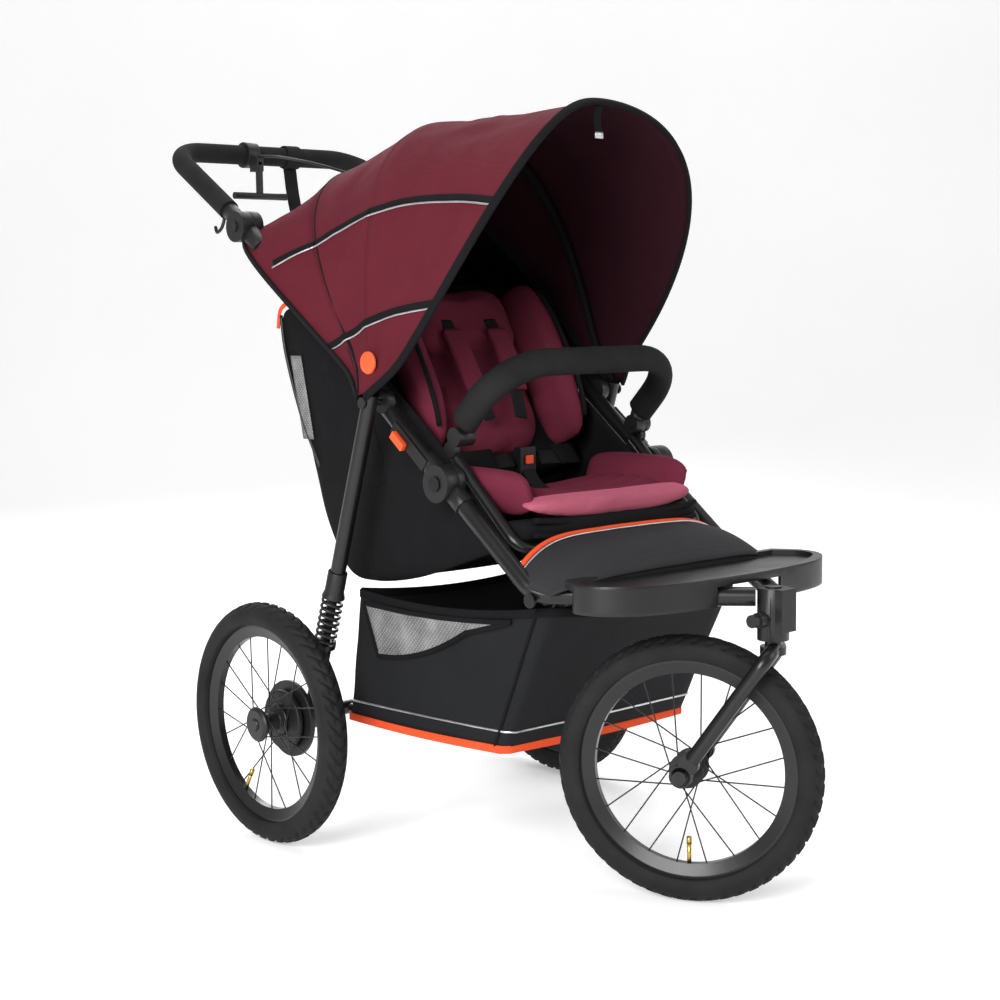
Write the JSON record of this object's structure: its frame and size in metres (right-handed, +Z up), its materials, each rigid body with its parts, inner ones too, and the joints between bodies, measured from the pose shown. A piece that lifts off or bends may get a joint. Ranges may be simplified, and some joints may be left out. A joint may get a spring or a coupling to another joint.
{
  "type": "jogging stroller",
  "caption": "Folding jogging stroller with three air-tyred spoked wheels, a swivel front fork, sprung rear legs, padded seat, hood and basket.",
  "frame": {"origin": "on the floor, in the middle of the whole object's box", "axes": "+Z up, the stroller faces -Y, +X is the child's left when seated and looking forward, that is the stroller's right-hand side seen from the front"},
  "size_m": [0.722, 1.3309, 1.1966],
  "materials": {
    "frame_paint": "satin black powder coat",
    "black_plastic": "moulded black plastic with a fine grain",
    "dark_steel": "dark zinc-plated steel",
    "spring_steel": "black coated spring wire",
    "tyre_rubber": "black tyre rubber",
    "rim_black": "satin black rim",
    "spoke_steel": "dark spokes",
    "foam_black": "black closed-cell foam",
    "orange_plastic": "orange moulded plastic",
    "wine_fabric": "wine polyester canvas with a fine weave",
    "liner_fabric": "soft wine seat liner",
    "black_fabric": "black polyester canvas",
    "basket_fabric": "charcoal polyester with mesh windows"
  },
  "bodies": {
    "chassis": {"lower_frame": "frame_paint", "head_tube": "black_plastic", "footrest_tray": "black_plastic", "frame_bolts": "dark_steel", "seat_frame": "frame_paint", "fold_housings": "black_plastic", "bumper_brackets": "black_plastic", "seat_base": "liner_fabric", "calf_apron": "black_fabric", "harness_buckle": "black_plastic"},
    "upper_frame": {"upper_frame_tubes": "frame_paint", "fold_knuckles": "black_plastic", "leg_and_hood_mounts": "black_plastic", "handle_hinge_sockets": "black_plastic"},
    "rear_legs": {"leg_tubes": "frame_paint", "spring_cups": "black_plastic", "suspension_springs": "spring_steel"},
    "rear_axle": {"leg_sliders": "frame_paint", "brake_backplates": "black_plastic", "rear_axle_beam": "frame_paint"},
    "lower_rails": {"side_rails": "frame_paint", "basket": "basket_fabric"},
    "fork": {"fork": "frame_paint", "front_axle": "dark_steel"},
    "swivel_lock": {"swivel_lock_knob": "black_plastic"},
    "handlebar": {"handlebar_tube": "frame_paint", "handlebar_grip": "foam_black", "handle_hinge_hubs": "black_plastic", "brake_lever_clamp": "black_plastic"},
    "brake_lever": {"brake_lever": "black_plastic"},
    "parking_brake": {"parking_brake_pedal": "black_plastic"},
    "bumper": {"bumper_bar": "foam_black", "bumper_end_caps": "black_plastic"},
    "backrest": {"backrest": "liner_fabric", "rear_pouch": "black_fabric"},
    "buckle_button": {"buckle_button": "orange_plastic"},
    "hood_rear": {"hood_rear_hoop": "black_plastic"},
    "hood_middle": {"hood_middle_hoop": "black_plastic", "hood_fabric": "wine_fabric"},
    "hood_front": {"hood_rim": "black_plastic"},
    "rear_wheel_left": {"rear_wheel_left_tyre": "tyre_rubber", "rear_wheel_left_rim": "rim_black", "rear_wheel_left_spokes": "spoke_steel", "rear_wheel_left_hub": "black_plastic"},
    "rear_wheel_right": {"rear_wheel_right_tyre": "tyre_rubber", "rear_wheel_right_rim": "rim_black", "rear_wheel_right_spokes": "spoke_steel", "rear_wheel_right_hub": "black_plastic"},
    "front_wheel": {"front_wheel_tyre": "tyre_rubber", "front_wheel_rim": "rim_black", "front_wheel_spokes": "spoke_steel", "front_wheel_hub": "black_plastic"},
    "wheel_release_button_left": {"wheel_release_button_left": "black_plastic"},
    "handle_button_left": {"handle_button_left": "black_plastic"},
    "bumper_button_left": {"bumper_button_left": "black_plastic"},
    "fold_latch_left": {"fold_latch_left": "orange_plastic"},
    "wheel_release_button_right": {"wheel_release_button_right": "black_plastic"},
    "handle_button_right": {"handle_button_right": "black_plastic"},
    "bumper_button_right": {"bumper_button_right": "black_plastic"},
    "fold_latch_right": {"fold_latch_right": "orange_plastic"}
  },
  "joints": [
    {"name": "fold_hinge", "type": "hinge", "parent": "chassis", "child": "upper_frame", "pos_m": [0, -0.1447, 0.612], "axis": [1, 0, 0], "range_deg": [0, 112], "deforming": ["seat_base", "calf_apron", "basket", "hood_fabric", "backrest", "rear_pouch"]},
    {"name": "leg_hinge", "type": "hinge", "parent": "upper_frame", "child": "rear_legs", "pos_m": [0, -0.009, 0.732], "axis": [1, 0, 0], "range_deg": [-72, 0]},
    {"name": "rail_hinge", "type": "hinge", "parent": "chassis", "child": "lower_rails", "pos_m": [0, -0.3467, 0.455], "axis": [1, 0, 0], "range_deg": [0, 33]},
    {"name": "bumper_hinge", "type": "hinge", "parent": "chassis", "child": "bumper", "pos_m": [0, -0.143, 0.681], "axis": [1, 0, 0], "range_deg": [0, 72]},
    {"name": "hood_rear_hinge", "type": "hinge", "parent": "upper_frame", "child": "hood_rear", "pos_m": [0, -0.009, 0.732], "axis": [1, 0, 0], "range_deg": [-7, 0]},
    {"name": "hood_hinge", "type": "hinge", "parent": "hood_rear", "child": "hood_middle", "pos_m": [0, -0.009, 0.732], "axis": [1, 0, 0], "range_deg": [-23, 0], "deforming": ["hood_fabric"]},
    {"name": "hood_front_hinge", "type": "hinge", "parent": "hood_middle", "child": "hood_front", "pos_m": [0, -0.009, 0.732], "axis": [1, 0, 0], "range_deg": [-37, 0]},
    {"name": "rear_suspension", "type": "slide", "parent": "rear_legs", "child": "rear_axle", "axis": [0, -0.3156, 0.9489], "range_m": [0, 0.025], "stiffness_N_per_m": 4000, "deforming": ["suspension_springs"]},
    {"name": "rear_wheel_left_spin", "type": "hinge", "parent": "rear_axle", "child": "rear_wheel_left", "pos_m": [0, 0.1993, 0.2], "axis": [1, 0, 0], "continuous": true},
    {"name": "rear_wheel_right_spin", "type": "hinge", "parent": "rear_axle", "child": "rear_wheel_right", "pos_m": [0, 0.1993, 0.2], "axis": [1, 0, 0], "continuous": true},
    {"name": "fork_swivel", "type": "hinge", "parent": "chassis", "child": "fork", "pos_m": [0, -0.597, 0.43], "axis": [0, 0, 1], "continuous": true},
    {"name": "front_wheel_spin", "type": "hinge", "parent": "fork", "child": "front_wheel", "pos_m": [-0.05917, -0.48803, 0.2], "axis": [0.8788, 0.4772, 0], "continuous": true},
    {"name": "swivel_lock_slide", "type": "slide", "parent": "chassis", "child": "swivel_lock", "axis": [-1, 0, 0], "range_m": [0, 0.008]},
    {"name": "handle_hinge", "type": "hinge", "parent": "upper_frame", "child": "handlebar", "pos_m": [0, 0.3793, 1.02], "axis": [1, 0, 0], "range_deg": [-30, 30]},
    {"name": "brake_lever_hinge", "type": "hinge", "parent": "handlebar", "child": "brake_lever", "pos_m": [-0.04, 0.6083, 1.141], "axis": [1, 0, 0], "range_deg": [0, 22]},
    {"name": "parking_brake_hinge", "type": "hinge", "parent": "rear_axle", "child": "parking_brake", "pos_m": [0, 0.1993, 0.2], "axis": [1, 0, 0], "range_deg": [-28, 0]},
    {"name": "backrest_recline", "type": "hinge", "parent": "upper_frame", "child": "backrest", "pos_m": [0, 0, 0.585], "axis": [1, 0, 0], "range_deg": [-22, 0], "deforming": ["backrest", "rear_pouch"]},
    {"name": "buckle_button_press", "type": "slide", "parent": "chassis", "child": "buckle_button", "axis": [0, 1, 0], "range_m": [0, 0.0025]},
    {"name": "wheel_release_press_left", "type": "slide", "parent": "rear_wheel_left", "child": "wheel_release_button_left", "axis": [1, 0, 0], "range_m": [0, 0.003]},
    {"name": "handle_button_press_left", "type": "slide", "parent": "handlebar", "child": "handle_button_left", "axis": [1, 0, 0], "range_m": [0, 0.003]},
    {"name": "bumper_button_press_left", "type": "slide", "parent": "bumper", "child": "bumper_button_left", "axis": [-1, 0, 0], "range_m": [0, 0.003]},
    {"name": "fold_latch_slide_left", "type": "slide", "parent": "upper_frame", "child": "fold_latch_left", "axis": [0, 0.789, 0.6144], "range_m": [0, 0.01]},
    {"name": "wheel_release_press_right", "type": "slide", "parent": "rear_wheel_right", "child": "wheel_release_button_right", "axis": [-1, 0, 0], "range_m": [0, 0.003]},
    {"name": "handle_button_press_right", "type": "slide", "parent": "handlebar", "child": "handle_button_right", "axis": [-1, 0, 0], "range_m": [0, 0.003]},
    {"name": "bumper_button_press_right", "type": "slide", "parent": "bumper", "child": "bumper_button_right", "axis": [1, 0, 0], "range_m": [0, 0.003]},
    {"name": "fold_latch_slide_right", "type": "slide", "parent": "upper_frame", "child": "fold_latch_right", "axis": [0, 0.789, 0.6144], "range_m": [0, 0.01]}
  ],
  "couplings": [
    {"joint": "leg_hinge", "follows": "fold_hinge", "ratio": -0.542},
    {"joint": "rail_hinge", "follows": "fold_hinge", "ratio": 0.25},
    {"joint": "bumper_hinge", "follows": "fold_hinge", "ratio": 0.55},
    {"joint": "hood_rear_hinge", "follows": "fold_hinge", "ratio": -0.046},
    {"joint": "hood_front_hinge", "follows": "fold_hinge", "ratio": -0.277}
  ]
}
